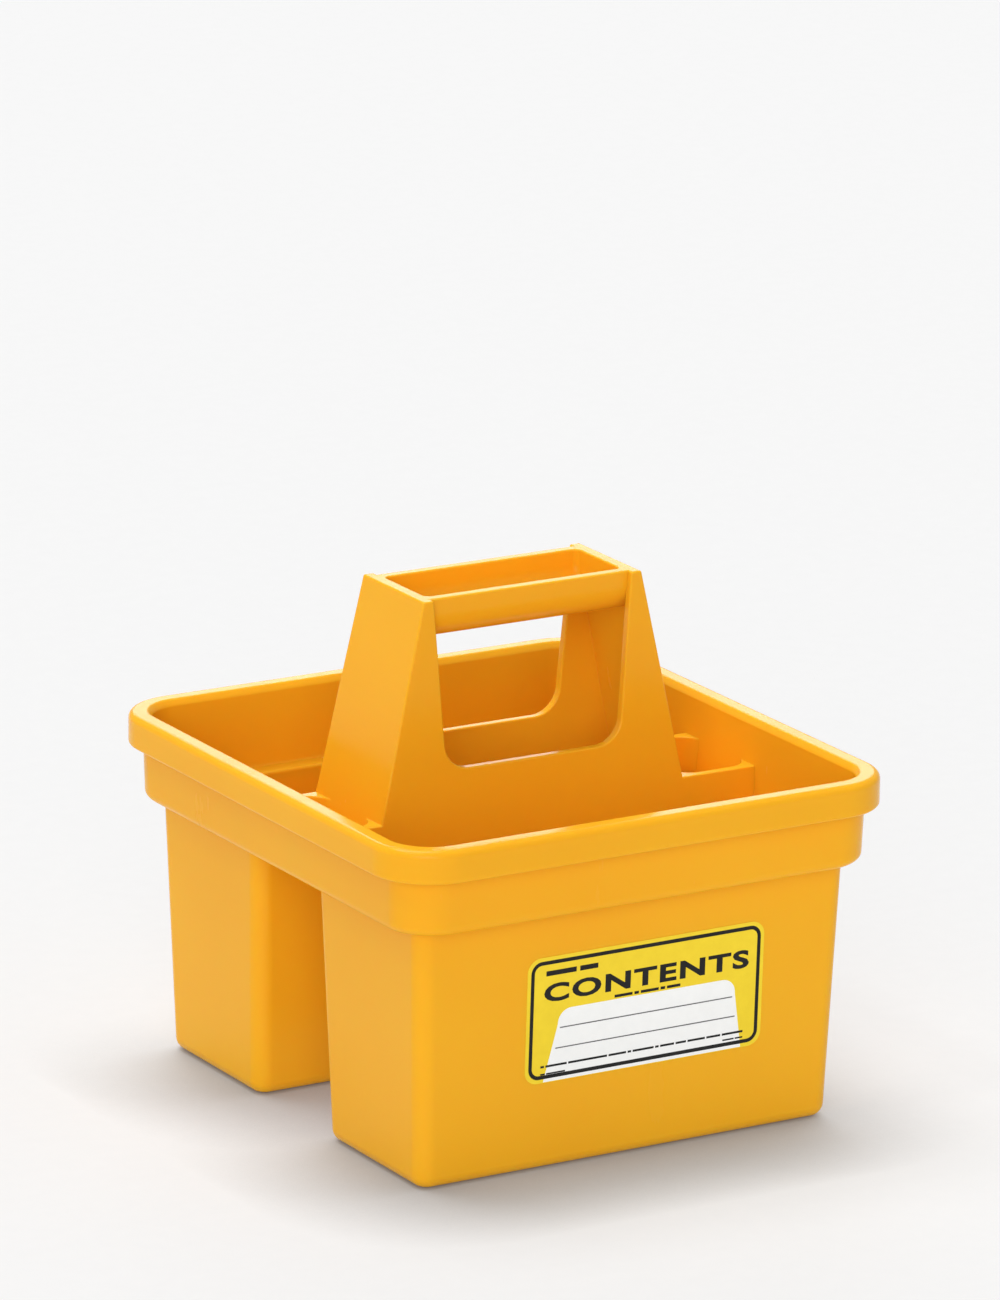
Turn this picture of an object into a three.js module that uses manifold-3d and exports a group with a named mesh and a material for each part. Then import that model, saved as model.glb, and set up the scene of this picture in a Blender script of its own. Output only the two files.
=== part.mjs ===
// Cleaning caddy: a small carry caddy with two deep bins, two shallow side pockets and a fixed
// handle tower whose grip is a pen tray.
//
// Frame: millimetres, +Z up, origin on the floor under the middle of the caddy.
// X runs along the labelled face, and the labelled face looks towards -Y.

import * as THREE from 'three';
import { mergeVertices } from 'three/addons/utils/BufferGeometryUtils.js';
import Module from 'manifold-3d';

const wasm = await Module();
wasm.setup();

// ---------------------------------------------------------------- driving dimensions

const WIDTH = 137; // rim, along X
const DEPTH = 145; // rim, along Y
const RIM_TOP = 86.4; // height of the rim
const TOWER_TOP = 128; // height of the handle
const WALL = 2.2; // nominal wall of the moulding
const GAP = 0.3; // clearance between neighbouring pieces
const ARC_STEPS = 6; // facets in a rounded vertical corner
const SMALL_ARC_STEPS = 4; // facets in a small corner
const ROUND_STEPS = 3; // facets across a rounded edge
const SMALL_ROUND_STEPS = 2; // facets across a small rounded edge
const CURVE_STEPS = 6; // facets in each curve of an extruded outline

// Rim lip: a thick band around the mouth of the upper tray.
const LIP_HEIGHT = 8.1;
const LIP_CORNER = 15.5;
const LIP_WIDTH = 5.9;
const LIP_TOP_ROUND = 1.8;
const LIP_LOW_ROUND = 0.8;
const LIP_INNER_ROUND = 1.7;
const INNER_DRAFT = 0.5; // of the inner wall, from below the lip to the ledge

// Collar: the upright wall below the lip, down to the ledge that carries the bins.
const COLLAR_INSET = 3.9;
const COLLAR_DRAFT = 0.3;
const COLLAR_CORNER = 10.8;
const COLLAR_BOTTOM = 64.2;
const COLLAR_ROUND = 2.4;
const LEDGE_TOP = COLLAR_BOTTOM + WALL;

// Bins: two deep cups below the ledge, with a gap between them that is open at both ends.
const BIN_INSET = 9.5;
const BIN_DRAFT = 2.2;
const BIN_CORNER = 4.2;
const BIN_INNER_CORNER = 2; // smallest radius inside a corner
const BIN_FLOOR_ROUND = 3;
const GAP_HALF_TOP = 13.7;
const GAP_HALF_FOOT = 16.7;
const BIN_TOP = COLLAR_BOTTOM - GAP;

// Handle frame: two dividers across the tray, joined to a hollow tapered tower.
const DIVIDER_TOP = 75.2;
const TOWER_HALF_X_LOW = 41.9; // at the top of the dividers
const TOWER_HALF_X_TOP = 30.1;
const TOWER_HALF_Y_LOW = 16;
const TOWER_HALF_Y_TOP = 14.4;
const TOWER_WALL = 2;
const POCKET_CORNER = 6;

// Windows through the front and rear panels of the tower.
const WINDOW_BOTTOM = 86.1;
const WINDOW_HALF_LOW = 24;
const WINDOW_HALF_TOP = 26.4;
const WINDOW_CORNER = 6.8;

// Pen tray: a round-bottomed trough between the end panels of the tower. It is also the grip.
const TRAY_BOTTOM = 117.2;
const TRAY_HALF_Y = 12.3;
const TRAY_WALL = 2.8;
const TRAY_ROUND = 7.5;
const TRAY_END = 1;

// Label: a printed sticker on the labelled face of the front bin.
const LABEL_WIDTH = 66;
const LABEL_HEIGHT = 32;
const LABEL_CENTRE_X = 3.4;
const LABEL_CENTRE_Z = 37.6;
const LABEL_CORNER = 3.5;
const LABEL_THICKNESS = 0.4;
const LABEL_STANDOFF = 0.15;

const CUT = 5; // how far a cutting tool runs past what it cuts
const MERGE_DISTANCE = 1e-4; // corners closer than this are one corner

// ---------------------------------------------------------------- materials

const PLASTIC = new THREE.MeshStandardMaterial({ color: 0xf2a81d, roughness: 0.28, metalness: 0 });
const PAPER = new THREE.MeshStandardMaterial({ color: 0xf4dc32, roughness: 0.5, metalness: 0 });

// ---------------------------------------------------------------- outlines and lofts

// Points of a rounded rectangle, anticlockwise seen from above.
function roundedRectangle(xLow, xHigh, yLow, yHigh, radius, steps = ARC_STEPS) {
  const points = [];
  const centres = [
    [xHigh - radius, yHigh - radius, 0],
    [xLow + radius, yHigh - radius, 1],
    [xLow + radius, yLow + radius, 2],
    [xHigh - radius, yLow + radius, 3],
  ];
  for (const [x, y, quarter] of centres) {
    for (let i = 0; i <= steps; i += 1) {
      const angle = ((quarter + i / steps) * Math.PI) / 2;
      points.push([x + radius * Math.cos(angle), y + radius * Math.sin(angle)]);
    }
  }
  return points;
}

// A rounded rectangle centred on the axis, drawn inwards from the rim's outer edge.
function insetOutline(inset, corner) {
  const halfX = WIDTH / 2 - inset;
  const halfY = DEPTH / 2 - inset;
  return roundedRectangle(-halfX, halfX, -halfY, halfY, corner);
}

// Closed solid through a stack of outlines with equal point counts. The stack may go up the
// outside of a cup and down its inside. Both ends are capped.
function loft(sections) {
  const count = sections[0].outline.length;
  const positions = [];
  const index = [];
  for (const { outline, z } of sections) {
    for (const [x, y] of outline) {
      positions.push(x, y, z);
    }
  }
  for (let s = 0; s + 1 < sections.length; s += 1) {
    for (let i = 0; i < count; i += 1) {
      const next = (i + 1) % count;
      const a = s * count + i;
      const b = s * count + next;
      index.push(a, b, b + count);
      index.push(a, b + count, a + count);
    }
  }
  const last = (sections.length - 1) * count;
  for (let i = 1; i + 1 < count; i += 1) {
    index.push(0, i + 1, i);
    index.push(last, last + i, last + i + 1);
  }
  const geometry = new THREE.BufferGeometry();
  geometry.setAttribute('position', new THREE.Float32BufferAttribute(positions, 3));
  geometry.setIndex(index);
  return geometry;
}

// Straight solid of an outline in X and Y.
function column(outline, zLow, zHigh) {
  return loft([
    { outline, z: zLow },
    { outline, z: zHigh },
  ]);
}

// Quarter-round steps from 0 to 90 degrees: how far across and how far up, as parts of the radius.
function quarterRound(steps) {
  const parts = [];
  for (let i = 0; i <= steps; i += 1) {
    const angle = (i / steps) * (Math.PI / 2);
    parts.push({ across: 1 - Math.sin(angle), up: 1 - Math.cos(angle) });
  }
  return parts;
}

// ---------------------------------------------------------------- booleans

function toSolid(geometry) {
  const bare = geometry.clone();
  bare.deleteAttribute('normal');
  bare.deleteAttribute('uv');
  const merged = mergeVertices(bare, MERGE_DISTANCE);
  return new wasm.Manifold(
    new wasm.Mesh({
      numProp: 3,
      vertProperties: new Float32Array(merged.attributes.position.array),
      triVerts: new Uint32Array(merged.index.array),
    }),
  );
}

function toGeometry(solid) {
  const mesh = solid.getMesh();
  const geometry = new THREE.BufferGeometry();
  geometry.setAttribute('position', new THREE.BufferAttribute(mesh.vertProperties, 3));
  geometry.setIndex(new THREE.BufferAttribute(mesh.triVerts, 1));
  return geometry;
}

function piece(name, geometry, material) {
  geometry.computeVertexNormals();
  const mesh = new THREE.Mesh(geometry, material);
  mesh.name = name;
  return mesh;
}

// ---------------------------------------------------------------- shared shapes

// Share of the way from the floor to the top of the bins.
function binRise(z) {
  return z / COLLAR_BOTTOM;
}

// Plan outline of the front bin at height z, drawn `inwards` from its outer face.
function frontBinOutline(z, inwards) {
  const inset = BIN_INSET + BIN_DRAFT * (1 - binRise(z)) + inwards;
  const gapHalf = GAP_HALF_FOOT + (GAP_HALF_TOP - GAP_HALF_FOOT) * binRise(z) + inwards;
  const halfX = WIDTH / 2 - inset;
  const corner = BIN_CORNER - Math.min(inwards, BIN_CORNER - BIN_INNER_CORNER);
  return roundedRectangle(-halfX, halfX, -(DEPTH / 2 - inset), -gapHalf, corner);
}

function mirroredInY(outline) {
  return outline.map(([x, y]) => [x, -y]).reverse();
}

// Half sizes of the tower at height z. The slopes run on down between the dividers.
function towerHalfX(z) {
  const slope = (TOWER_HALF_X_LOW - TOWER_HALF_X_TOP) / (TOWER_TOP - DIVIDER_TOP);
  return TOWER_HALF_X_TOP + (TOWER_TOP - z) * slope;
}

function towerHalfY(z) {
  const slope = (TOWER_HALF_Y_LOW - TOWER_HALF_Y_TOP) / (TOWER_TOP - DIVIDER_TOP);
  return TOWER_HALF_Y_TOP + (TOWER_TOP - z) * slope;
}

function rectangle(halfX, halfY) {
  return [
    [halfX, halfY],
    [-halfX, halfY],
    [-halfX, -halfY],
    [halfX, -halfY],
  ];
}

// Tapered block that follows the tower's faces, `inwards` from them.
function towerBlock(zLow, zHigh, inwards) {
  const sections = [zLow, zHigh].map((z) => ({
    outline: rectangle(towerHalfX(z) - inwards, towerHalfY(z) - inwards),
    z,
  }));
  return loft(sections);
}

// ---------------------------------------------------------------- upper tray

function trayBody() {
  const sections = [];
  const add = (inset, z, corner) => sections.push({ outline: insetOutline(inset, corner), z });
  const lowInset = COLLAR_INSET + COLLAR_DRAFT;
  for (const { across, up } of quarterRound(ROUND_STEPS)) {
    add(lowInset + COLLAR_ROUND * across, COLLAR_BOTTOM + COLLAR_ROUND * up, COLLAR_CORNER);
  }
  const lipBottom = RIM_TOP - LIP_HEIGHT;
  add(COLLAR_INSET, lipBottom, COLLAR_CORNER);
  for (const { across, up } of quarterRound(SMALL_ROUND_STEPS)) {
    add(LIP_LOW_ROUND * across, lipBottom + LIP_LOW_ROUND * up, LIP_CORNER);
  }
  for (const { across, up } of quarterRound(ROUND_STEPS).reverse()) {
    add(LIP_TOP_ROUND * across, RIM_TOP - LIP_TOP_ROUND * up, LIP_CORNER - LIP_TOP_ROUND * across);
  }
  const innerCorner = LIP_CORNER - LIP_WIDTH;
  for (const { across, up } of quarterRound(ROUND_STEPS)) {
    const inset = LIP_WIDTH - LIP_INNER_ROUND * across;
    add(inset, RIM_TOP - LIP_INNER_ROUND * up, LIP_CORNER - inset);
  }
  add(LIP_WIDTH + INNER_DRAFT, LEDGE_TOP, innerCorner - INNER_DRAFT);
  return toSolid(loft(sections));
}

function upperTray() {
  const zLow = COLLAR_BOTTOM - CUT;
  const zHigh = LEDGE_TOP + CUT;
  const frontMouth = frontBinOutline(COLLAR_BOTTOM, WALL);
  const frontHole = toSolid(column(frontMouth, zLow, zHigh));
  const rearHole = toSolid(column(mirroredInY(frontMouth), zLow, zHigh));
  const halfX = towerHalfX(LEDGE_TOP) - TOWER_WALL;
  const towerHole = toSolid(column(rectangle(halfX, GAP_HALF_TOP), zLow, zHigh));
  const solid = trayBody().subtract(frontHole).subtract(rearHole).subtract(towerHole);
  return piece('upper_tray', toGeometry(solid), PLASTIC);
}

// ---------------------------------------------------------------- bins

function binGeometry(place) {
  const sections = [];
  for (const { across, up } of quarterRound(ROUND_STEPS)) {
    const z = BIN_FLOOR_ROUND * up;
    sections.push({ outline: place(frontBinOutline(z, BIN_FLOOR_ROUND * across)), z });
  }
  sections.push({ outline: place(frontBinOutline(BIN_TOP, 0)), z: BIN_TOP });
  sections.push({ outline: place(frontBinOutline(BIN_TOP, WALL)), z: BIN_TOP });
  for (const { across, up } of quarterRound(SMALL_ROUND_STEPS).reverse()) {
    const z = WALL + BIN_FLOOR_ROUND * up;
    sections.push({ outline: place(frontBinOutline(z, WALL + BIN_FLOOR_ROUND * across)), z });
  }
  return loft(sections);
}

function frontBin() {
  return piece('front_bin', binGeometry((outline) => outline), PLASTIC);
}

function rearBin() {
  return piece('rear_bin', binGeometry(mirroredInY), PLASTIC);
}

// ---------------------------------------------------------------- handle frame

// Solid slab between the side walls of the tray. Its long faces carry on from the tower's.
function dividerSlab(zLow) {
  const halfX = WIDTH / 2 - LIP_WIDTH - INNER_DRAFT - GAP;
  const sections = [zLow, DIVIDER_TOP].map((z) => ({
    outline: rectangle(halfX, towerHalfY(z)),
    z,
  }));
  return toSolid(loft(sections));
}

// Side pocket between a tower end and a side wall, with rounded upright corners.
function pocketCutter(side) {
  const xInner = towerHalfX(DIVIDER_TOP);
  const xOuter = WIDTH / 2 - LIP_WIDTH - GAP;
  const halfY = TOWER_HALF_Y_LOW - WALL;
  const [xLow, xHigh] = side > 0 ? [xInner, xOuter] : [-xOuter, -xInner];
  const slope = towerHalfX(0) - towerHalfX(1);
  const sections = [LEDGE_TOP - CUT, DIVIDER_TOP + CUT].map((z) => {
    const shift = (DIVIDER_TOP - z) * slope;
    const low = side > 0 ? xLow + shift : xLow;
    const high = side > 0 ? xHigh : xHigh - shift;
    return { outline: roundedRectangle(low, high, -halfY, halfY, POCKET_CORNER, SMALL_ARC_STEPS), z };
  });
  return toSolid(loft(sections));
}

// Opening through the front and rear panels, round at its lower corners and open at the top.
function windowCutter() {
  const shape = new THREE.Shape();
  const top = TOWER_TOP + CUT;
  const lean = (WINDOW_HALF_TOP - WINDOW_HALF_LOW) / (TRAY_BOTTOM - WINDOW_BOTTOM);
  const halfTop = WINDOW_HALF_LOW + (top - WINDOW_BOTTOM) * lean;
  const tangentX = WINDOW_HALF_LOW + WINDOW_CORNER * lean;
  shape.moveTo(-halfTop, top);
  shape.lineTo(-tangentX, WINDOW_BOTTOM + WINDOW_CORNER);
  shape.quadraticCurveTo(-WINDOW_HALF_LOW, WINDOW_BOTTOM, WINDOW_CORNER - WINDOW_HALF_LOW, WINDOW_BOTTOM);
  shape.lineTo(WINDOW_HALF_LOW - WINDOW_CORNER, WINDOW_BOTTOM);
  shape.quadraticCurveTo(WINDOW_HALF_LOW, WINDOW_BOTTOM, tangentX, WINDOW_BOTTOM + WINDOW_CORNER);
  shape.lineTo(halfTop, top);
  const length = 2 * (TOWER_HALF_Y_LOW + CUT);
  const geometry = new THREE.ExtrudeGeometry(shape, {
    depth: length,
    bevelEnabled: false,
    curveSegments: CURVE_STEPS,
  });
  geometry.rotateX(Math.PI / 2);
  geometry.translate(0, length / 2, 0);
  return toSolid(geometry);
}

function handleFrame() {
  const zLow = LEDGE_TOP + GAP;
  const outside = toSolid(towerBlock(zLow, TOWER_TOP, 0)).add(dividerSlab(zLow));
  const hollow = toSolid(towerBlock(zLow - CUT, TOWER_TOP + CUT, TOWER_WALL));
  const solid = outside
    .subtract(hollow)
    .subtract(windowCutter())
    .subtract(pocketCutter(1))
    .subtract(pocketCutter(-1));
  return piece('handle_frame', toGeometry(solid), PLASTIC);
}

// ---------------------------------------------------------------- pen tray

// U-shaped section in Y and Z, `inwards` from the trough's outer face, closed at zTop.
function troughSection(inwards, zTop) {
  const halfY = TRAY_HALF_Y - inwards;
  const bottom = TRAY_BOTTOM + inwards;
  const radius = TRAY_ROUND - inwards / 2;
  const shape = new THREE.Shape();
  shape.moveTo(-halfY, zTop);
  shape.lineTo(-halfY, bottom + radius);
  shape.absarc(radius - halfY, bottom + radius, radius, Math.PI, 1.5 * Math.PI, false);
  shape.absarc(halfY - radius, bottom + radius, radius, 1.5 * Math.PI, 2 * Math.PI, false);
  shape.lineTo(halfY, zTop);
  return shape;
}

// Bar of a Y-Z section along X, centred on the axis.
function barAlongX(shape, halfLength) {
  const geometry = new THREE.ExtrudeGeometry(shape, {
    depth: 2 * halfLength,
    bevelEnabled: false,
    curveSegments: CURVE_STEPS,
  });
  geometry.rotateX(Math.PI / 2);
  geometry.rotateZ(Math.PI / 2);
  geometry.translate(-halfLength, 0, 0);
  return toSolid(geometry);
}

function penTray() {
  const inside = TOWER_WALL + GAP;
  const zLow = TRAY_BOTTOM - CUT;
  const room = loft([
    { outline: rectangle(towerHalfX(zLow) - inside, TRAY_HALF_Y + CUT), z: zLow },
    { outline: rectangle(towerHalfX(TOWER_TOP) - inside, TRAY_HALF_Y + CUT), z: TOWER_TOP },
  ]);
  const outerBar = barAlongX(troughSection(0, TOWER_TOP), towerHalfX(TRAY_BOTTOM) + CUT);
  const bowlHalf = towerHalfX(TOWER_TOP) - inside - TRAY_END;
  const bowl = barAlongX(troughSection(TRAY_WALL, TOWER_TOP + CUT), bowlHalf);
  const solid = outerBar.intersect(toSolid(room)).subtract(bowl);
  return piece('pen_tray', toGeometry(solid), PLASTIC);
}

// ---------------------------------------------------------------- label

function label() {
  const halfX = LABEL_WIDTH / 2;
  const halfZ = LABEL_HEIGHT / 2;
  const outline = roundedRectangle(-halfX, halfX, -halfZ, halfZ, LABEL_CORNER, SMALL_ARC_STEPS);
  const mesh = piece('label', column(outline, 0, LABEL_THICKNESS), PAPER);
  const lean = Math.atan2(BIN_DRAFT, COLLAR_BOTTOM);
  const faceY = -(DEPTH / 2 - BIN_INSET - BIN_DRAFT * (1 - binRise(LABEL_CENTRE_Z)));
  mesh.rotation.x = Math.PI / 2 + lean;
  mesh.position.set(LABEL_CENTRE_X, faceY - LABEL_STANDOFF, LABEL_CENTRE_Z);
  return mesh;
}

// ---------------------------------------------------------------- assembly

const caddy = new THREE.Group();
caddy.add(upperTray(), frontBin(), rearBin(), handleFrame(), penTray(), label());

export default caddy;
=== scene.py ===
import math

import bmesh
import bpy
from mathutils import Matrix, Vector


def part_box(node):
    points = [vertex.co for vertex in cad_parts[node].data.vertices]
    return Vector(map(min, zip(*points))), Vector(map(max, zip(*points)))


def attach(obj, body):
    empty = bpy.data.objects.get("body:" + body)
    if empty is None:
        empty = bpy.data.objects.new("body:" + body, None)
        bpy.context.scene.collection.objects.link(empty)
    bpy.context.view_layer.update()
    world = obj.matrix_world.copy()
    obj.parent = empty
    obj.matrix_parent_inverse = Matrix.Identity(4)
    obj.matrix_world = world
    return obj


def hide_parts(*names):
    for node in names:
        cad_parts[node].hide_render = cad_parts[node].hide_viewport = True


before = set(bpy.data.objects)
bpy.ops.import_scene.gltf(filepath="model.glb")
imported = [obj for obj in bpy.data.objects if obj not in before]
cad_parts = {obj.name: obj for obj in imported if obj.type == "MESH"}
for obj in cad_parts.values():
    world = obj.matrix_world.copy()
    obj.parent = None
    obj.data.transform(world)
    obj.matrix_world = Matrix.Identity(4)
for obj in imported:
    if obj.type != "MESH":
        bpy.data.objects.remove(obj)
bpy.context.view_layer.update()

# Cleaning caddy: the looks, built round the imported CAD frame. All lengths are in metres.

MM = 0.001

# ---------------------------------------------------------------- sizes read from the frame

TRAY_LOW, TRAY_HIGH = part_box("upper_tray")
BIN_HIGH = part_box("front_bin")[1]
FRAME_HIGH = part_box("handle_frame")[1]
LABEL_LOW, LABEL_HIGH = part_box("label")

HALF_WIDTH = TRAY_HIGH.x  # rim, along X
HALF_DEPTH = TRAY_HIGH.y  # rim, along Y
RIM_TOP = TRAY_HIGH.z
COLLAR_BOTTOM = TRAY_LOW.z
TOWER_TOP = FRAME_HIGH.z

# ---------------------------------------------------------------- sizes of the fine shape

WALL = 2.2 * MM
LEDGE_TOP = COLLAR_BOTTOM + WALL
EMBED = 0.8 * MM  # how far one section of the moulding runs into the next
FRAME_LIFT = 0.3 * MM  # the dividers start this far above the collar's foot
HAIR = 0.02 * MM  # keeps two surfaces from lying exactly on each other

LIP_HEIGHT = 8.1 * MM
LIP_CORNER = 15.5 * MM
LIP_WIDTH = 5.9 * MM
LIP_TOP_ROUND = 1.8 * MM
LIP_LOW_ROUND = 0.9 * MM
LIP_INNER_ROUND = 1.7 * MM
INNER_DRAFT = 0.5 * MM

COLLAR_INSET = 3.9 * MM
COLLAR_DRAFT = 0.3 * MM
COLLAR_CORNER = 10.8 * MM
COLLAR_ROUND = 2.4 * MM
COLLAR_FILLET = 0.9 * MM  # where the collar meets the lip
LEDGE_FILLET = 0.6 * MM  # where the wall meets the ledge
MOUTH_ROUND = 0.8 * MM  # upper edge of a bin's mouth

BIN_INSET = HALF_WIDTH - BIN_HIGH.x
BIN_DRAFT = 2.2 * MM
BIN_CORNER = 4.2 * MM
BIN_INNER_CORNER = 1.5 * MM
BIN_FLOOR_ROUND = 3.0 * MM
GAP_HALF_TOP = 13.7 * MM
GAP_HALF_FOOT = 16.7 * MM

DIVIDER_TOP = 75.2 * MM
TOWER_HALF_X_LOW = 41.9 * MM
TOWER_HALF_X_TOP = 30.1 * MM
TOWER_HALF_Y_LOW = 16.0 * MM
TOWER_HALF_Y_TOP = 14.4 * MM
TOWER_WALL = 2.3 * MM
HOLLOW_CORNER = 0.5 * MM
POCKET_CORNER = 6.0 * MM
EDGE_ROUND = 0.45 * MM

WINDOW_BOTTOM = 86.1 * MM
WINDOW_HALF_LOW = 24.0 * MM
WINDOW_HALF_TOP = 27.3 * MM
WINDOW_CORNER = 6.8 * MM

TROUGH_BOTTOM = 117.2 * MM
TROUGH_HALF_Y = 12.7 * MM
TROUGH_WALL = 2.8 * MM
TROUGH_ROUND = 7.5 * MM
TROUGH_END = 28.9 * MM
BOWL_HALF_X = 26.9 * MM
BOWL_CORNER = 1.6 * MM
BOWL_END_ROUND = 1.5 * MM
TROUGH_CORNER = 0.4 * MM

CORNER_STEPS = 14  # facets in a rounded vertical corner
PRINT_CORNER_STEPS = 8  # facets in a corner of the label
ROUND_STEPS = 6  # facets across a rounded edge
SMALL_ROUND_STEPS = 4
WIDE_ROUND_STEPS = 8
TROUGH_STEPS = 10
BEVEL_SEGMENTS = 4
SHARP_ANGLE = 38  # degrees: a sharper edge than this is shaded as an edge
ROUNDED_ANGLE = 35  # degrees: a sharper edge than this can be rounded
MERGE_DISTANCE = 0.001 * MM
CUT = 5 * MM  # how far a cutter runs past what it cuts

# ---------------------------------------------------------------- mesh helpers


def rounded_rectangle(x_low, x_high, y_low, y_high, radius, steps=CORNER_STEPS):
    """Points of a rounded rectangle, anticlockwise seen from above."""
    points = []
    centres = [
        (x_high - radius, y_high - radius),
        (x_low + radius, y_high - radius),
        (x_low + radius, y_low + radius),
        (x_high - radius, y_low + radius),
    ]
    for quarter, (x, y) in enumerate(centres):
        for i in range(steps + 1):
            angle = (quarter + i / steps) * math.pi / 2
            points.append((x + radius * math.cos(angle), y + radius * math.sin(angle)))
    return points


def at_height(outline, z):
    return [(x, y, z) for x, y in outline]


def quarter_round(steps=ROUND_STEPS):
    """(across, up) shares of a radius, from the foot of a rounded edge to its side."""
    angles = [math.pi / 2 * i / steps for i in range(steps + 1)]
    return [(1 - math.sin(a), 1 - math.cos(a)) for a in angles]


def new_object(name, vertices, faces):
    """A mesh object from its points and faces, linked to the scene."""
    mesh = bpy.data.meshes.new(name)
    mesh.from_pydata(vertices, [], faces)
    mesh.update()
    obj = bpy.data.objects.new(name, mesh)
    bpy.context.scene.collection.objects.link(obj)
    return obj


def loft(name, rings):
    """Closed mesh through rings of equal point counts, capped at both ends."""
    count = len(rings[0])
    vertices = [point for ring in rings for point in ring]
    faces = []
    for r in range(len(rings) - 1):
        for i in range(count):
            j = (i + 1) % count
            a = r * count
            faces.append((a + i, a + j, a + count + j, a + count + i))
    last = (len(rings) - 1) * count
    faces.append(tuple(reversed(range(count))))
    faces.append(tuple(range(last, last + count)))
    return new_object(name, vertices, faces)


def prism(name, front, back):
    """Closed mesh between two matching polygons."""
    return loft(name, [front, back])


def apply_modifiers(obj):
    depsgraph = bpy.context.evaluated_depsgraph_get()
    mesh = bpy.data.meshes.new_from_object(obj.evaluated_get(depsgraph))
    obj.modifiers.clear()
    obj.data = mesh


def cut(obj, *cutters):
    """Takes each cutter out of obj, and removes the cutter."""
    for cutter in cutters:
        fix_normals(cutter)
        modifier = obj.modifiers.new("cut", "BOOLEAN")
        modifier.operation = "DIFFERENCE"
        modifier.solver = "EXACT"
        modifier.object = cutter
        apply_modifiers(obj)
        bpy.data.objects.remove(cutter)


def fix_normals(obj):
    mesh = bmesh.new()
    mesh.from_mesh(obj.data)
    bmesh.ops.remove_doubles(mesh, verts=mesh.verts, dist=MERGE_DISTANCE)
    bmesh.ops.recalc_face_normals(mesh, faces=mesh.faces)
    mesh.to_mesh(obj.data)
    mesh.free()


def round_edges(obj, wanted):
    """Rounds the sharp edges whose middle `wanted` accepts, and keeps flat faces flat."""
    mesh = bmesh.new()
    mesh.from_mesh(obj.data)
    weight = mesh.edges.layers.float.new("bevel_weight_edge")
    for edge in mesh.edges:
        sharp = len(edge.link_faces) == 2 and edge.calc_face_angle() > math.radians(ROUNDED_ANGLE)
        middle = (edge.verts[0].co + edge.verts[1].co) / 2
        edge[weight] = 1.0 if sharp and wanted(middle) else 0.0
    mesh.to_mesh(obj.data)
    mesh.free()
    bevel = obj.modifiers.new("edges", "BEVEL")
    bevel.width = EDGE_ROUND
    bevel.segments = BEVEL_SEGMENTS
    bevel.limit_method = "WEIGHT"
    bevel.use_clamp_overlap = False
    bevel.miter_outer = "MITER_ARC"
    bevel.harden_normals = False
    apply_modifiers(obj)


def smooth(obj):
    """Smooth shading whose normals follow the larger face, so that flat faces look flat."""
    obj.data.shade_smooth()
    obj.data.set_sharp_from_angle(angle=math.radians(SHARP_ANGLE))
    weighted = obj.modifiers.new("normals", "WEIGHTED_NORMAL")
    weighted.mode = "FACE_AREA_WITH_ANGLE"
    weighted.weight = 80
    weighted.keep_sharp = True
    apply_modifiers(obj)


def finish_piece(obj, material, node):
    """Gives a piece of the moulding its material, and ties it to the CAD node it stands for."""
    obj.data.materials.clear()
    obj.data.materials.append(material)
    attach(obj, "root")
    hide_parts(node)


# ---------------------------------------------------------------- shared shapes


def bin_draft(z):
    return BIN_DRAFT * (1 - z / COLLAR_BOTTOM)


def tower_half_x(z):
    slope = (TOWER_HALF_X_LOW - TOWER_HALF_X_TOP) / (TOWER_TOP - DIVIDER_TOP)
    return TOWER_HALF_X_TOP + (TOWER_TOP - z) * slope


def tower_half_y(z):
    slope = (TOWER_HALF_Y_LOW - TOWER_HALF_Y_TOP) / (TOWER_TOP - DIVIDER_TOP)
    return TOWER_HALF_Y_TOP + (TOWER_TOP - z) * slope


def bin_outline(z, inwards, side):
    """Plan outline of a bin at height z. side is -1 for the front bin and 1 for the rear one."""
    inset = BIN_INSET + bin_draft(z) + inwards
    gap = GAP_HALF_FOOT + (GAP_HALF_TOP - GAP_HALF_FOOT) * z / COLLAR_BOTTOM + inwards
    half_x = HALF_WIDTH - inset
    near, far = sorted((side * gap, side * (HALF_DEPTH - inset)))
    corner = max(BIN_CORNER - inwards, BIN_INNER_CORNER)
    return rounded_rectangle(-half_x, half_x, near, far, corner)


def tray_outline(inset, corner):
    return rounded_rectangle(
        inset - HALF_WIDTH, HALF_WIDTH - inset, inset - HALF_DEPTH, HALF_DEPTH - inset, corner
    )


# ---------------------------------------------------------------- upper tray

# Inner edge of the rim, as shares of its size: a slope with a small round at each end.
LIP_INNER_SLOPE = (
    (1.00, 0.000), (0.85, 0.015), (0.70, 0.060), (0.56, 0.140),
    (0.20, 0.600), (0.11, 0.740), (0.04, 0.870), (0.00, 1.000),
)


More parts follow.
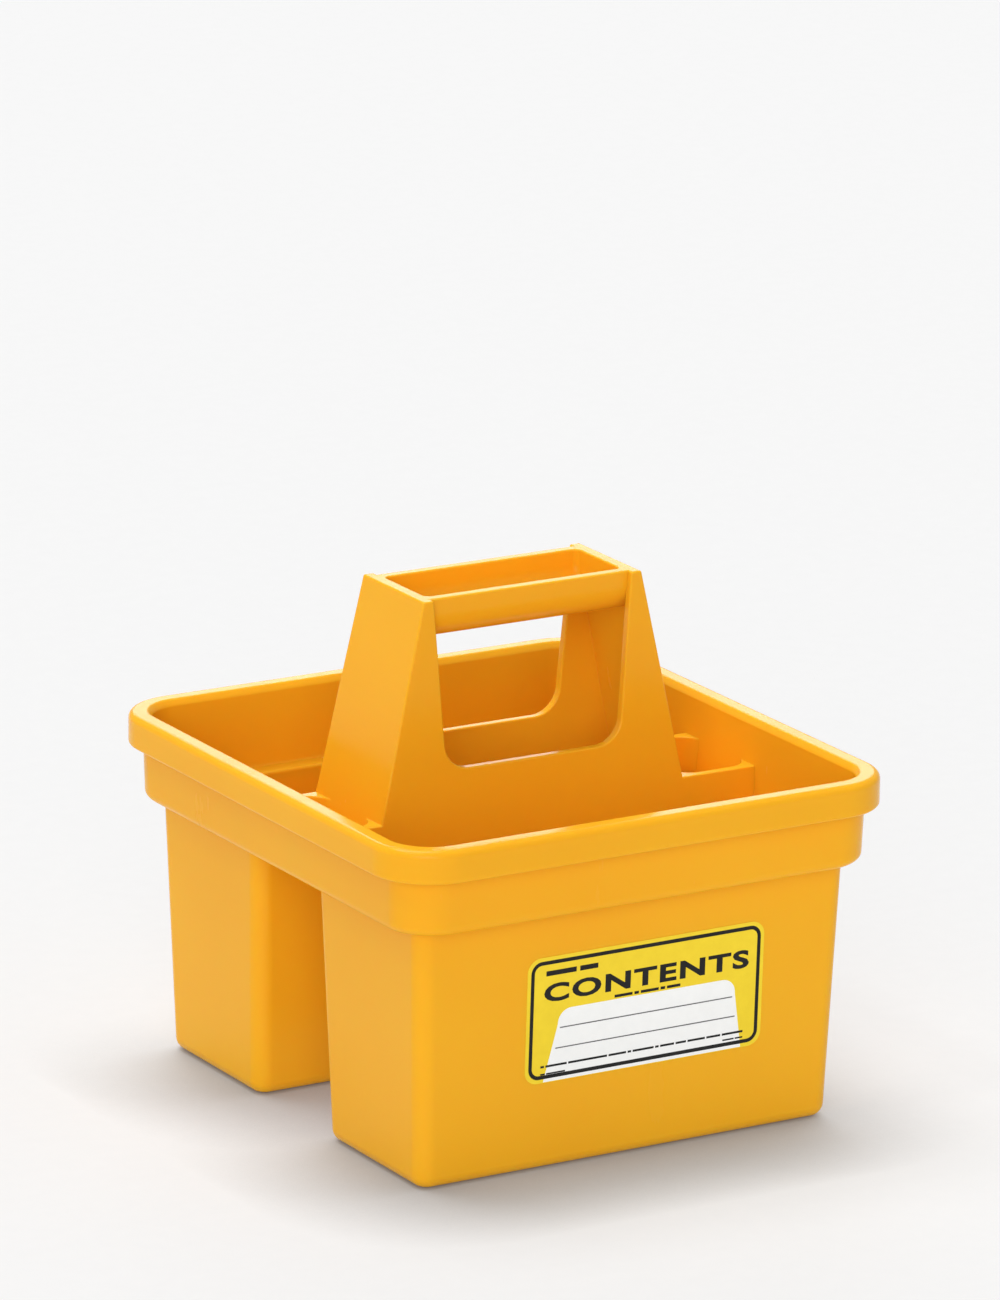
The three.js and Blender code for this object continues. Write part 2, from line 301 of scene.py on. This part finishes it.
def tray_rings():
    rings = []

    def ring(inset, z, corner):
        rings.append(at_height(tray_outline(inset, corner), z))

    low_inset = COLLAR_INSET + COLLAR_DRAFT
    for across, up in quarter_round():
        ring(low_inset + COLLAR_ROUND * across, COLLAR_BOTTOM + COLLAR_ROUND * up, COLLAR_CORNER)
    lip_bottom = RIM_TOP - LIP_HEIGHT
    for across, up in reversed(quarter_round(SMALL_ROUND_STEPS)):
        inset = COLLAR_INSET - COLLAR_FILLET * across
        ring(inset, lip_bottom - COLLAR_FILLET * up, COLLAR_CORNER + COLLAR_INSET - inset)
    for across, up in quarter_round(SMALL_ROUND_STEPS):
        inset = LIP_LOW_ROUND * across
        ring(inset, lip_bottom + LIP_LOW_ROUND * up, LIP_CORNER - inset)
    for across, up in reversed(quarter_round(WIDE_ROUND_STEPS)):
        inset = LIP_TOP_ROUND * across
        ring(inset, RIM_TOP - LIP_TOP_ROUND * up, LIP_CORNER - inset)
    for across, up in LIP_INNER_SLOPE:
        inset = LIP_WIDTH - LIP_INNER_ROUND * across
        ring(inset, RIM_TOP - LIP_INNER_ROUND * up, LIP_CORNER - inset)
    inner = LIP_WIDTH + INNER_DRAFT
    for across, up in reversed(quarter_round()):
        inset = inner + LEDGE_FILLET * across
        ring(inset, LEDGE_TOP + LEDGE_FILLET * up, LIP_CORNER - inner)
    return rings


def bin_mouth_cutter(side):
    """Cuts a bin's opening through the ledge, with a rounded upper edge."""
    rings = []
    inwards = WALL - HAIR

    def ring(flare, z):
        rings.append(at_height(bin_outline(COLLAR_BOTTOM, inwards - flare, side), z))

    ring(0, COLLAR_BOTTOM - CUT)
    for across, up in reversed(quarter_round()):
        ring(MOUTH_ROUND * across, LEDGE_TOP - MOUTH_ROUND * up)
    ring(MOUTH_ROUND, LEDGE_TOP + CUT)
    return loft("cutter", rings)


def tower_opening_cutter():
    half_x = tower_half_x(LEDGE_TOP) - TOWER_WALL
    half_y = tower_half_y(LEDGE_TOP) - TOWER_WALL
    outline = rounded_rectangle(-half_x, half_x, -half_y, half_y, HOLLOW_CORNER, 2)
    rings = [at_height(outline, COLLAR_BOTTOM - CUT), at_height(outline, LEDGE_TOP + CUT)]
    return loft("cutter", rings)


def make_upper_tray(material):
    obj = loft("upper_tray_moulding", tray_rings())
    cut(obj, bin_mouth_cutter(-1), bin_mouth_cutter(1), tower_opening_cutter())
    fix_normals(obj)
    smooth(obj)
    finish_piece(obj, material, "upper_tray")


# ---------------------------------------------------------------- bins


def make_bin(name, node, side, material):
    rings = []
    for across, up in quarter_round():
        z = BIN_FLOOR_ROUND * up
        rings.append(at_height(bin_outline(z, BIN_FLOOR_ROUND * across, side), z))
    top = COLLAR_BOTTOM + EMBED
    rings.append(at_height(bin_outline(top, 0, side), top))
    rings.append(at_height(bin_outline(top, WALL, side), top))
    for across, up in reversed(quarter_round()):
        z = WALL + BIN_FLOOR_ROUND * up
        rings.append(at_height(bin_outline(z, WALL + BIN_FLOOR_ROUND * across, side), z))
    obj = loft(name, rings)
    fix_normals(obj)
    smooth(obj)
    finish_piece(obj, material, node)


# ---------------------------------------------------------------- handle frame


def frame_front(z_low):
    """Outline of the dividers and tower in X and Z, anticlockwise seen from in front."""
    half = HALF_WIDTH - LIP_WIDTH - INNER_DRAFT + EMBED
    return [
        (-half, z_low),
        (half, z_low),
        (half, DIVIDER_TOP),
        (TOWER_HALF_X_LOW, DIVIDER_TOP),
        (TOWER_HALF_X_TOP, TOWER_TOP),
        (-TOWER_HALF_X_TOP, TOWER_TOP),
        (-TOWER_HALF_X_LOW, DIVIDER_TOP),
        (-half, DIVIDER_TOP),
    ]


def tower_hollow_cutter():
    rings = []
    for z in (COLLAR_BOTTOM - CUT, TOWER_TOP + CUT):
        half_x = tower_half_x(z) - TOWER_WALL
        half_y = tower_half_y(z) - TOWER_WALL
        corners = ((half_x, half_y), (-half_x, half_y), (-half_x, -half_y), (half_x, -half_y))
        rings.append(at_height(corners, z))
    return loft("cutter", rings)


def window_cutter():
    """Opening through both panels, round at the lower corners and open at the top."""
    lean = (WINDOW_HALF_TOP - WINDOW_HALF_LOW) / (TOWER_TOP - WINDOW_BOTTOM)
    angle_end = math.pi / 2 - math.atan(lean)
    reach = WINDOW_CORNER * math.tan(angle_end / 2)
    centre_x = WINDOW_HALF_LOW - reach
    centre_z = WINDOW_BOTTOM + WINDOW_CORNER
    right = []
    for i in range(CORNER_STEPS + 1):
        a = -math.pi / 2 + angle_end * i / CORNER_STEPS
        right.append((centre_x + WINDOW_CORNER * math.cos(a), centre_z + WINDOW_CORNER * math.sin(a)))
    top = TOWER_TOP + CUT
    right.append((WINDOW_HALF_TOP + CUT * lean, top))
    outline = right + [(-x, z) for x, z in reversed(right)]
    reach_y = TOWER_HALF_Y_LOW + CUT
    front = [(x, -reach_y, z) for x, z in outline]
    back = [(x, reach_y, z) for x, z in outline]
    return prism("cutter", front, back)


def pocket_cutter(side):
    """A side pocket between the tower's end and the tray's side wall."""
    rings = []
    half_y = TOWER_HALF_Y_LOW - WALL
    outer = HALF_WIDTH - LIP_WIDTH

    def ring(z, flare):
        low, high = sorted((side * tower_half_x(z), side * outer))
        outline = rounded_rectangle(low, high, -half_y - flare, half_y + flare, POCKET_CORNER, 8)
        rings.append(at_height(outline, z))

    ring(COLLAR_BOTTOM - CUT, 0)
    for across, up in reversed(quarter_round(SMALL_ROUND_STEPS)):
        ring(DIVIDER_TOP - EDGE_ROUND * up, EDGE_ROUND * across)
    ring(DIVIDER_TOP + CUT, EDGE_ROUND)
    return loft("cutter", rings)


def outside_pockets(place):
    """True for the edges of the tower and the long outer edges of the dividers."""
    x, y, z = abs(place.x), abs(place.y), place.z
    near = 0.1 * MM
    hollow_x = tower_half_x(z) - TOWER_WALL
    hollow_y = tower_half_y(z) - TOWER_WALL
    inner_corner = abs(x - hollow_x) < near and abs(y - hollow_y) < near
    on_tower = z > DIVIDER_TOP + 1 * MM and not inner_corner
    on_outer_face = y > TOWER_HALF_Y_LOW - 3 * near
    return on_tower or (on_outer_face and z > COLLAR_BOTTOM + 2 * MM)


def make_handle_frame(material):
    z_low = COLLAR_BOTTOM + FRAME_LIFT
    front = [(x, -tower_half_y(z), z) for x, z in frame_front(z_low)]
    back = [(x, tower_half_y(z), z) for x, z in frame_front(z_low)]
    obj = prism("handle_frame_moulding", front, back)
    fix_normals(obj)
    cut(obj, tower_hollow_cutter(), window_cutter(), pocket_cutter(-1), pocket_cutter(1))
    fix_normals(obj)
    round_edges(obj, outside_pockets)
    smooth(obj)
    finish_piece(obj, material, "handle_frame")


# ---------------------------------------------------------------- pen tray


def make_pen_tray(material):
    """Round-bottomed trough: outside up, over the rounded rim, and down the inside."""
    top = TOWER_TOP - HAIR
    rings = []

    def ring(half_x, half_y, corner, z):
        rings.append(at_height(rounded_rectangle(-half_x, half_x, -half_y, half_y, corner), z))

    for across, up in quarter_round(TROUGH_STEPS):
        half_y = TROUGH_HALF_Y - TROUGH_ROUND * across
        ring(TROUGH_END, half_y, TROUGH_CORNER, TROUGH_BOTTOM + TROUGH_ROUND * up)
    for across, up in reversed(quarter_round(SMALL_ROUND_STEPS)):
        ring(TROUGH_END, TROUGH_HALF_Y - EDGE_ROUND * across, TROUGH_CORNER, top - EDGE_ROUND * up)
    bowl_half_y = TROUGH_HALF_Y - TROUGH_WALL
    for across, up in quarter_round(SMALL_ROUND_STEPS):
        out = EDGE_ROUND * across
        ring(BOWL_HALF_X + out, bowl_half_y + out, BOWL_CORNER + out, top - EDGE_ROUND * up)
    bowl_round = TROUGH_ROUND - TROUGH_WALL
    floor = TROUGH_BOTTOM + TROUGH_WALL
    for across, up in reversed(quarter_round(WIDE_ROUND_STEPS)):
        half_x = BOWL_HALF_X - BOWL_END_ROUND * across
        ring(half_x, bowl_half_y - bowl_round * across, BOWL_CORNER, floor + bowl_round * up)
    obj = loft("pen_tray_moulding", rings)
    fix_normals(obj)
    smooth(obj)
    finish_piece(obj, material, "pen_tray")


# ---------------------------------------------------------------- label and its print

LABEL_LEAN = math.atan2(BIN_DRAFT, COLLAR_BOTTOM)
LABEL_BASE = 0.1 * MM  # how far the print's surface stands off the bin's face
LABEL_X = (LABEL_LOW.x + LABEL_HIGH.x) / 2
LABEL_Z = (LABEL_LOW.z + LABEL_HIGH.z) / 2
LABEL_SINK = 0.05 * MM  # how far the sheet's back runs into the bin's face
LABEL_TRIM = 0.35 * MM  # the print's edge, inside the edge of the CAD label
LABEL_HALF_X = (LABEL_HIGH.x - LABEL_LOW.x) / 2 - LABEL_TRIM
LABEL_HALF_Z = 16 * MM - LABEL_TRIM
LABEL_CORNER = 3.5 * MM
KEYLINE_MARGIN = 0.95 * MM
KEYLINE_CORNER = 2.9 * MM
KEYLINE_WIDTH = 0.95 * MM
LABEL_FACE_Y = -(HALF_DEPTH - BIN_INSET - bin_draft(LABEL_Z))
INK = 0.012 * MM  # step between one printed layer and the next

PANEL_FOOT_Z = -15.5  # white panel, in millimetres from the label's middle
PANEL_FOOT_LEFT = -27.6
PANEL_FOOT_RIGHT = 27.1
PANEL_SHOULDER_Z = -1.6
PANEL_SHOULDER_LEFT = -24.0
PANEL_SHOULDER_RIGHT = 25.0
PANEL_CORNER = 3.6
PANEL_CORNER_Z = -1.4
PANEL_CORNER_LEFT = -20.4
PANEL_CORNER_RIGHT = 21.4
PANEL_STEPS = 8
PANEL_SWEEP = 82  # degrees that each upper corner turns through

TITLE = "CONTENTS"
TITLE_PLACE = (-28.0 * MM, 4.3 * MM)
TITLE_SIZE = (56.6 * MM, 4.6 * MM)
RULES = ((-23.4, 24.3, -2.6), (-24.5, 25.2, -7.6))  # left end, right end and height, in mm
RULE_HEIGHT = 0.3
SMALL_PRINT = (  # left end, right end, height, letter height in mm, and letters in each word
    (-27.6, -13.4, 10.9, 1.25, (5, 3)),
    (-8.6, 9.6, 2.6, 0.7, (4, 1, 4, 1, 3)),
    (-28.4, 27.6, -11.9, 0.55, (1, 6, 11, 5, 1, 6, 1, 4, 3, 5, 4, 6)),
    (-28.4, -21.6, -13.7, 0.4, (1, 4)),
    (22.0, 27.6, -13.3, 0.4, (3, 2)),
)


def on_label(x, z, layer):
    """World place of a point on the label, given from its middle, on a printed layer."""
    out = LABEL_BASE + INK * layer
    y = LABEL_FACE_Y - z * math.sin(LABEL_LEAN) - out * math.cos(LABEL_LEAN)
    return (LABEL_X + x, y, LABEL_Z + z * math.cos(LABEL_LEAN) - out * math.sin(LABEL_LEAN))


def printed_shape(name, outline, layer):
    """One flat printed patch. The outline is anticlockwise seen from in front."""
    vertices = [on_label(x, z, layer) for x, z in outline]
    return new_object(name, vertices, [tuple(range(len(vertices)))])


def printed_frame(name, half_x, half_z, corner, width, layer):
    """A printed keyline: a rounded rectangle with a smaller one left out of it."""
    steps = PRINT_CORNER_STEPS
    outer = rounded_rectangle(-half_x, half_x, -half_z, half_z, corner, steps)
    inner_x, inner_z = half_x - width, half_z - width
    inner = rounded_rectangle(-inner_x, inner_x, -inner_z, inner_z, corner - width, steps)
    count = len(outer)
    vertices = [on_label(x, z, layer) for x, z in outer + inner]
    faces = [
        (i, (i + 1) % count, count + (i + 1) % count, count + i) for i in range(count)
    ]
    return new_object(name, vertices, faces)


def bar(x_low, x_high, z_low, z_high):
    return [(x_low, z_low), (x_high, z_low), (x_high, z_high), (x_low, z_high)]


def mm_points(points):
    return [(x * MM, z * MM) for x, z in points]


def write_on_panel():
    """The white panel: round upper corners, and sides that splay out towards the foot."""
    points = [
        (PANEL_FOOT_LEFT, PANEL_FOOT_Z),
        (PANEL_FOOT_RIGHT, PANEL_FOOT_Z),
        (PANEL_SHOULDER_RIGHT, PANEL_SHOULDER_Z),
    ]
    for x, start in ((PANEL_CORNER_RIGHT, 90 - PANEL_SWEEP), (PANEL_CORNER_LEFT, 90)):
        for i in range(PANEL_STEPS + 1):
            angle = math.radians(start + PANEL_SWEEP * i / PANEL_STEPS)
            across, up = PANEL_CORNER * math.cos(angle), PANEL_CORNER * math.sin(angle)
            points.append((x + across, PANEL_CORNER_Z + up))
    points.append((PANEL_SHOULDER_LEFT, PANEL_SHOULDER_Z))
    return mm_points(points)


def title_outline(text, width, height):
    """Text as flat mesh points in the label's own X and Z, stretched to a width and height."""
    curve = bpy.data.curves.new("title", "FONT")
    curve.body = text
    curve.space_character = 1.12
    curve.offset = 0.034
    curve.resolution_u = 4
    obj = bpy.data.objects.new("title", curve)
    bpy.context.scene.collection.objects.link(obj)
    depsgraph = bpy.context.evaluated_depsgraph_get()
    mesh = bpy.data.meshes.new_from_object(obj.evaluated_get(depsgraph))
    bpy.data.objects.remove(obj)
    xs = [v.co.x for v in mesh.vertices]
    ys = [v.co.y for v in mesh.vertices]
    scale_x = width / (max(xs) - min(xs))
    scale_y = height / (max(ys) - min(ys))
    points = [((v.co.x - min(xs)) * scale_x, (v.co.y - min(ys)) * scale_y) for v in mesh.vertices]
    faces = [tuple(face.vertices) for face in mesh.polygons]
    bpy.data.meshes.remove(mesh)
    return points, faces


def printed_title(name, text, x, z, width, height, layer):
    points, faces = title_outline(text, width, height)
    return new_object(name, [on_label(x + px, z + pz, layer) for px, pz in points], faces)


def greeked_line(x_low, x_high, z, height, words):
    """Small print too fine to read: a row of short bars, one for each word."""
    bars = []
    space = height * 0.75
    total = sum(words)
    room = x_high - x_low - space * (len(words) - 1)
    x = x_low
    for share in words:
        width = room * share / total
        bars.append(bar(x, x + width, z, z + height))
        x += width + space
    return bars


def label_sheet(name, material):
    """The yellow film itself, a thin sheet on the bin's face."""
    half_x, half_z = LABEL_HALF_X, LABEL_HALF_Z
    steps = PRINT_CORNER_STEPS
    outline = rounded_rectangle(-half_x, half_x, -half_z, half_z, LABEL_CORNER, steps)
    thickness = LABEL_BASE + LABEL_SINK
    front = [on_label(x, z, 0) for x, z in outline]
    back = [on_label(x, z, -thickness / INK) for x, z in outline]
    obj = prism(name, front, back)
    obj.data.materials.append(material)
    return obj


def join(first, others):
    bpy.ops.object.select_all(action="DESELECT")
    for obj in others:
        obj.select_set(True)
    first.select_set(True)
    bpy.context.view_layer.objects.active = first
    bpy.ops.object.join()


def make_label(film, white, black, grey):
    half_x = LABEL_HALF_X - KEYLINE_MARGIN
    half_z = LABEL_HALF_Z - KEYLINE_MARGIN
    sheet = label_sheet("label_sheet", film)
    parts = []

    def ink(obj, material):
        obj.data.materials.append(material)
        parts.append(obj)

    ink(printed_shape("panel", write_on_panel(), 1), white)
    ink(printed_frame("keyline", half_x, half_z, KEYLINE_CORNER, KEYLINE_WIDTH, 2), black)
    for x_low, x_high, z in RULES:
        ink(printed_shape("rule", mm_points(bar(x_low, x_high, z, z + RULE_HEIGHT)), 2), grey)
    ink(printed_title("title", TITLE, *TITLE_PLACE, *TITLE_SIZE, 2), black)
    for line in SMALL_PRINT:
        for word in greeked_line(*line):
            ink(printed_shape("word", mm_points(word), 2), black)
    join(sheet, parts)
    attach(sheet, "root")
    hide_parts("label")


# ---------------------------------------------------------------- materials

PLASTIC_DEEP = (0.910, 0.432, 0.015, 1)
PLASTIC_LIGHT = (0.925, 0.464, 0.017, 1)
# Pale edge colour: partly real edge wear, partly a painted highlight along the outer edges.
PLASTIC_WORN_AND_HIGHLIT = (0.95, 0.60, 0.07, 1)
WEAR_AND_HIGHLIGHT_RADIUS = 0.7 * MM
PLASTIC_SCATTER = 2.2 * MM

MIX_SHARE, MIX_FIRST, MIX_SECOND = 0, 6, 7  # a colour Mix node's inputs
MIX_RESULT = 2  # and its output


class Nodes:
    """Small helper that adds and links shader nodes."""

    def __init__(self, name):
        self.material = bpy.data.materials.new(name)
        self.material.use_nodes = True
        self.tree = self.material.node_tree
        self.shader = self.tree.nodes["Principled BSDF"]
        self.place = self.add("ShaderNodeTexCoord").outputs["Object"]

    def add(self, kind, **settings):
        node = self.tree.nodes.new(kind)
        for key, value in settings.items():
            setattr(node, key, value)
        return node

    def link(self, source, target):
        self.tree.links.new(source, target)

    def noise(self, scale, detail=2.0, roughness=0.5, stretch=(1, 1, 1)):
        mapping = self.add("ShaderNodeMapping")
        mapping.inputs["Scale"].default_value = stretch
        self.link(self.place, mapping.inputs["Vector"])
        node = self.add("ShaderNodeTexNoise")
        node.inputs["Scale"].default_value = scale
        node.inputs["Detail"].default_value = detail
        node.inputs["Roughness"].default_value = roughness
        self.link(mapping.outputs["Vector"], node.inputs["Vector"])
        return node.outputs["Fac"]

    def remap(self, value, low, high, to_low, to_high):
        node = self.add("ShaderNodeMapRange")
        for name, number in (
            ("From Min", low), ("From Max", high), ("To Min", to_low), ("To Max", to_high)
        ):
            node.inputs[name].default_value = number
        self.link(value, node.inputs["Value"])
        return node.outputs["Result"]

    def math(self, operation, first, second):
        node = self.add("ShaderNodeMath", operation=operation)
        for socket, value in zip(node.inputs, (first, second)):
            if isinstance(value, (int, float)):
                socket.default_value = value
            else:
                self.link(value, socket)
        return node.outputs["Value"]

    def mix(self, share, first, second):
        node = self.add("ShaderNodeMix", data_type="RGBA")
        for place, value in ((MIX_SHARE, share), (MIX_FIRST, first), (MIX_SECOND, second)):
            if isinstance(value, (int, float, tuple)):
                node.inputs[place].default_value = value
            else:
                self.link(value, node.inputs[place])
        return node.outputs[MIX_RESULT]

    def bump(self, height, distance, strength, under=None):
        node = self.add("ShaderNodeBump")
        node.inputs["Distance"].default_value = distance
        node.inputs["Strength"].default_value = strength
        self.link(height, node.inputs["Height"])
        if under is not None:
            self.link(under, node.inputs["Normal"])
        return node.outputs["Normal"]


def edge_share(nodes, radius, gain):
    """How near a place is to an outer edge, from the bevelled normal against the true one."""
    bevel = nodes.add("ShaderNodeBevel", samples=4)
    bevel.inputs["Radius"].default_value = radius
    geometry = nodes.add("ShaderNodeNewGeometry")
    dot = nodes.add("ShaderNodeVectorMath", operation="DOT_PRODUCT")
    nodes.link(bevel.outputs["Normal"], dot.inputs[0])
    nodes.link(geometry.outputs["True Normal"], dot.inputs[1])
    return nodes.remap(dot.outputs["Value"], 1.0, 1.0 - gain, 0.0, 1.0)


def moulded_plastic():
    nodes = Nodes("moulded_polypropylene")
    clouds = nodes.noise(scale=9, detail=3, roughness=0.55)
    patches = nodes.noise(scale=45, detail=4, roughness=0.6)
    drift = nodes.remap(clouds, 0.35, 0.65, 0, 1)
    colour = nodes.mix(drift, PLASTIC_DEEP, PLASTIC_LIGHT)
    patchy = nodes.remap(patches, 0.4, 0.62, 0.1, 0.55)
    # Outer edges are lightened in patches: partly edge wear, partly a painted highlight standing in
    # for glints on the rounded edges.
    wear_and_highlight = nodes.math("MULTIPLY", edge_share(nodes, WEAR_AND_HIGHLIGHT_RADIUS, 0.25), patchy)
    colour = nodes.mix(wear_and_highlight, colour, PLASTIC_WORN_AND_HIGHLIT)
    nodes.link(colour, nodes.shader.inputs["Base Color"])

    streaks = nodes.noise(scale=60, detail=5, roughness=0.65, stretch=(1, 1, 0.18))
    scuffs = nodes.remap(streaks, 0.56, 0.72, 0, 0.12)
    gloss = nodes.remap(patches, 0.3, 0.7, 0.15, 0.23)
    nodes.link(nodes.math("ADD", gloss, scuffs), nodes.shader.inputs["Roughness"])

    peel = nodes.noise(scale=420, detail=2, roughness=0.5)
    flow = nodes.noise(scale=38, detail=1, roughness=0.4)
    hairs = nodes.noise(scale=240, detail=6, roughness=0.75, stretch=(0.06, 1, 1))
    scratches = nodes.remap(hairs, 0.66, 0.70, 0, 1)
    normal = nodes.bump(flow, 0.04 * MM, 0.12)
    normal = nodes.bump(peel, 0.02 * MM, 0.22, normal)
    normal = nodes.bump(scratches, 0.01 * MM, 0.25, normal)
    nodes.link(normal, nodes.shader.inputs["Normal"])

    nodes.shader.inputs["IOR"].default_value = 1.49
    nodes.shader.inputs["Specular IOR Level"].default_value = 0.12
    nodes.shader.inputs["Subsurface Weight"].default_value = 0.3
    nodes.shader.inputs["Subsurface Radius"].default_value = (1.0, 0.45, 0.08)
    nodes.shader.inputs["Subsurface Scale"].default_value = PLASTIC_SCATTER
    return nodes.material


def printed_film(name, colour, darker, roughness, painted_light_glow=0.0):
    """A printed, lightly varnished film with faint mottling in its ink and its gloss. It can also
    glow faintly in its own colour, which is painted light that brightens it.
    """
    nodes = Nodes(name)
    mottle = nodes.noise(scale=300, detail=4, roughness=0.6)
    wide = nodes.noise(scale=60, detail=3, roughness=0.5)
    share = nodes.remap(mottle, 0.35, 0.65, 0, 1)
    nodes.link(nodes.mix(share, darker, colour), nodes.shader.inputs["Base Color"])
    gloss = nodes.remap(wide, 0.3, 0.7, roughness - 0.06, roughness + 0.06)
    nodes.link(gloss, nodes.shader.inputs["Roughness"])
    nodes.link(nodes.bump(mottle, 0.01 * MM, 0.2), nodes.shader.inputs["Normal"])
    nodes.shader.inputs["Specular IOR Level"].default_value = 0.15
    # Painted light: the film glows in its own colour, though it is no lamp.
    nodes.shader.inputs["Emission Color"].default_value = colour
    nodes.shader.inputs["Emission Strength"].default_value = painted_light_glow
    return nodes.material


FLOOR_GLOW = 0.478
PAINTED_SHADOW_TILT = (0.55, 0.60, 0.58)  # leans back, so the painted shadow dimming the floor's glow falls in front of the caddy
# Reach and depth of the painted contact shadow in the floor's glow.
PAINTED_SHADOW_REACH = 40 * MM
PAINTED_SHADOW_DEPTH = 1.45
FLOOR_DARK = (0.355, 0.355, 0.355, 1)
FLOOR_LIGHT = (0.365, 0.365, 0.365, 1)


def pale_floor():
    """White sweep lit from beneath as well as above, with a painted shadow where the caddy meets it:
    its glow is dimmed by ambient occlusion.
    """
    nodes = Nodes("pale_floor")
    grain = nodes.noise(scale=180, detail=4, roughness=0.6)
    share = nodes.remap(grain, 0.3, 0.7, 0, 1)
    nodes.link(nodes.mix(share, FLOOR_DARK, FLOOR_LIGHT), nodes.shader.inputs["Base Color"])
    nodes.shader.inputs["Roughness"].default_value = 0.9
    nodes.shader.inputs["Specular IOR Level"].default_value = 0.1
    # Painted shadow: ambient occlusion, tilted to the back, dims the floor's glow near and in front
    # of the caddy.
    occlusion = nodes.add("ShaderNodeAmbientOcclusion", samples=12)
    occlusion.inputs["Distance"].default_value = PAINTED_SHADOW_REACH
    leaning = nodes.add("ShaderNodeCombineXYZ")
    for socket, value in zip(leaning.inputs, PAINTED_SHADOW_TILT):
        socket.default_value = value
    nodes.link(leaning.outputs["Vector"], occlusion.inputs["Normal"])
    painted_shadow_openness = nodes.math("POWER", occlusion.outputs["AO"], PAINTED_SHADOW_DEPTH)
    painted_light_glow = nodes.math("MULTIPLY", painted_shadow_openness, FLOOR_GLOW)
    nodes.link(painted_light_glow, nodes.shader.inputs["Emission Strength"])
    nodes.shader.inputs["Emission Color"].default_value = (1, 1, 1, 1)
    return nodes.material


# ---------------------------------------------------------------- build

moulding = moulded_plastic()
make_upper_tray(moulding)
make_bin("front_bin_moulding", "front_bin", -1, moulding)
make_bin("rear_bin_moulding", "rear_bin", 1, moulding)
make_handle_frame(moulding)
make_pen_tray(moulding)
# The yellow and white films get a faint painted glow (the last number), which is painted light that
# brightens them.
make_label(
    printed_film("label_yellow", (0.94, 0.70, 0.034, 1), (0.90, 0.66, 0.031, 1), 0.38, 0.03),
    printed_film("label_white", (0.90, 0.91, 0.90, 1), (0.87, 0.88, 0.87, 1), 0.42, 0.09),
    printed_film("label_black", (0.012, 0.012, 0.012, 1), (0.018, 0.018, 0.018, 1), 0.35),
    printed_film("label_grey", (0.12, 0.12, 0.125, 1), (0.16, 0.16, 0.165, 1), 0.4),
)

# ---------------------------------------------------------------- stage, light and camera

FLOOR_SIZE = 8.0
WORLD_LIGHT = 0.43
floor = new_object(
    "floor",
    [(x * FLOOR_SIZE, y * FLOOR_SIZE, 0) for x, y in ((-1, -1), (1, -1), (1, 1), (-1, 1))],
    [(0, 1, 2, 3)],
)
floor.data.materials.append(pale_floor())

world = bpy.data.worlds.new("studio")
bpy.context.scene.world = world
world.use_nodes = True
world.node_tree.nodes["Background"].inputs["Color"].default_value = (1, 1, 1, 1)
world.node_tree.nodes["Background"].inputs["Strength"].default_value = WORLD_LIGHT


def sun(name, towards, strength, width):
    """Broad, even light that comes from the direction `towards`."""
    light = bpy.data.lights.new(name, "SUN")
    light.energy = strength
    light.angle = math.radians(width)
    obj = bpy.data.objects.new(name, light)
    obj.rotation_euler = Vector(towards).to_track_quat("Z", "Y").to_euler()
    bpy.context.scene.collection.objects.link(obj)


sun("key", (-0.06, 0.32, 1.0), 1.75, 34)
sun("rear", (0.40, 0.85, 0.42), 0.55, 30)
sun("fill", (-0.58, -0.76, 0.36), 1.18, 40)
sun("glint", (-0.55, -0.10, 1.0), 0.25, 7)

AZIMUTH = math.radians(-30.94)
ELEVATION = math.radians(15.98)
ROLL = math.radians(0.737)
DISTANCE = 2.0122
LENS = 231.1
SENSOR_WIDTH = 36
AIM = Vector((0.008098, 0.014262, 0.104014))

back = Vector((
    math.sin(AZIMUTH) * math.cos(ELEVATION),
    -math.cos(AZIMUTH) * math.cos(ELEVATION),
    math.sin(ELEVATION),
))
level = Vector((math.cos(AZIMUTH), math.sin(AZIMUTH), 0))
upright = back.cross(level)
right = math.cos(ROLL) * level + math.sin(ROLL) * upright
up = back.cross(right)

camera_data = bpy.data.cameras.new("camera")
camera_data.sensor_width = SENSOR_WIDTH
camera_data.lens = LENS
camera = bpy.data.objects.new("camera", camera_data)
camera.matrix_world = Matrix.Translation(AIM + back * DISTANCE) @ Matrix(
    (right, up, back)
).transposed().to_4x4()
bpy.context.scene.collection.objects.link(camera)
bpy.context.scene.camera = camera
bpy.context.scene.view_settings.view_transform = "Standard"
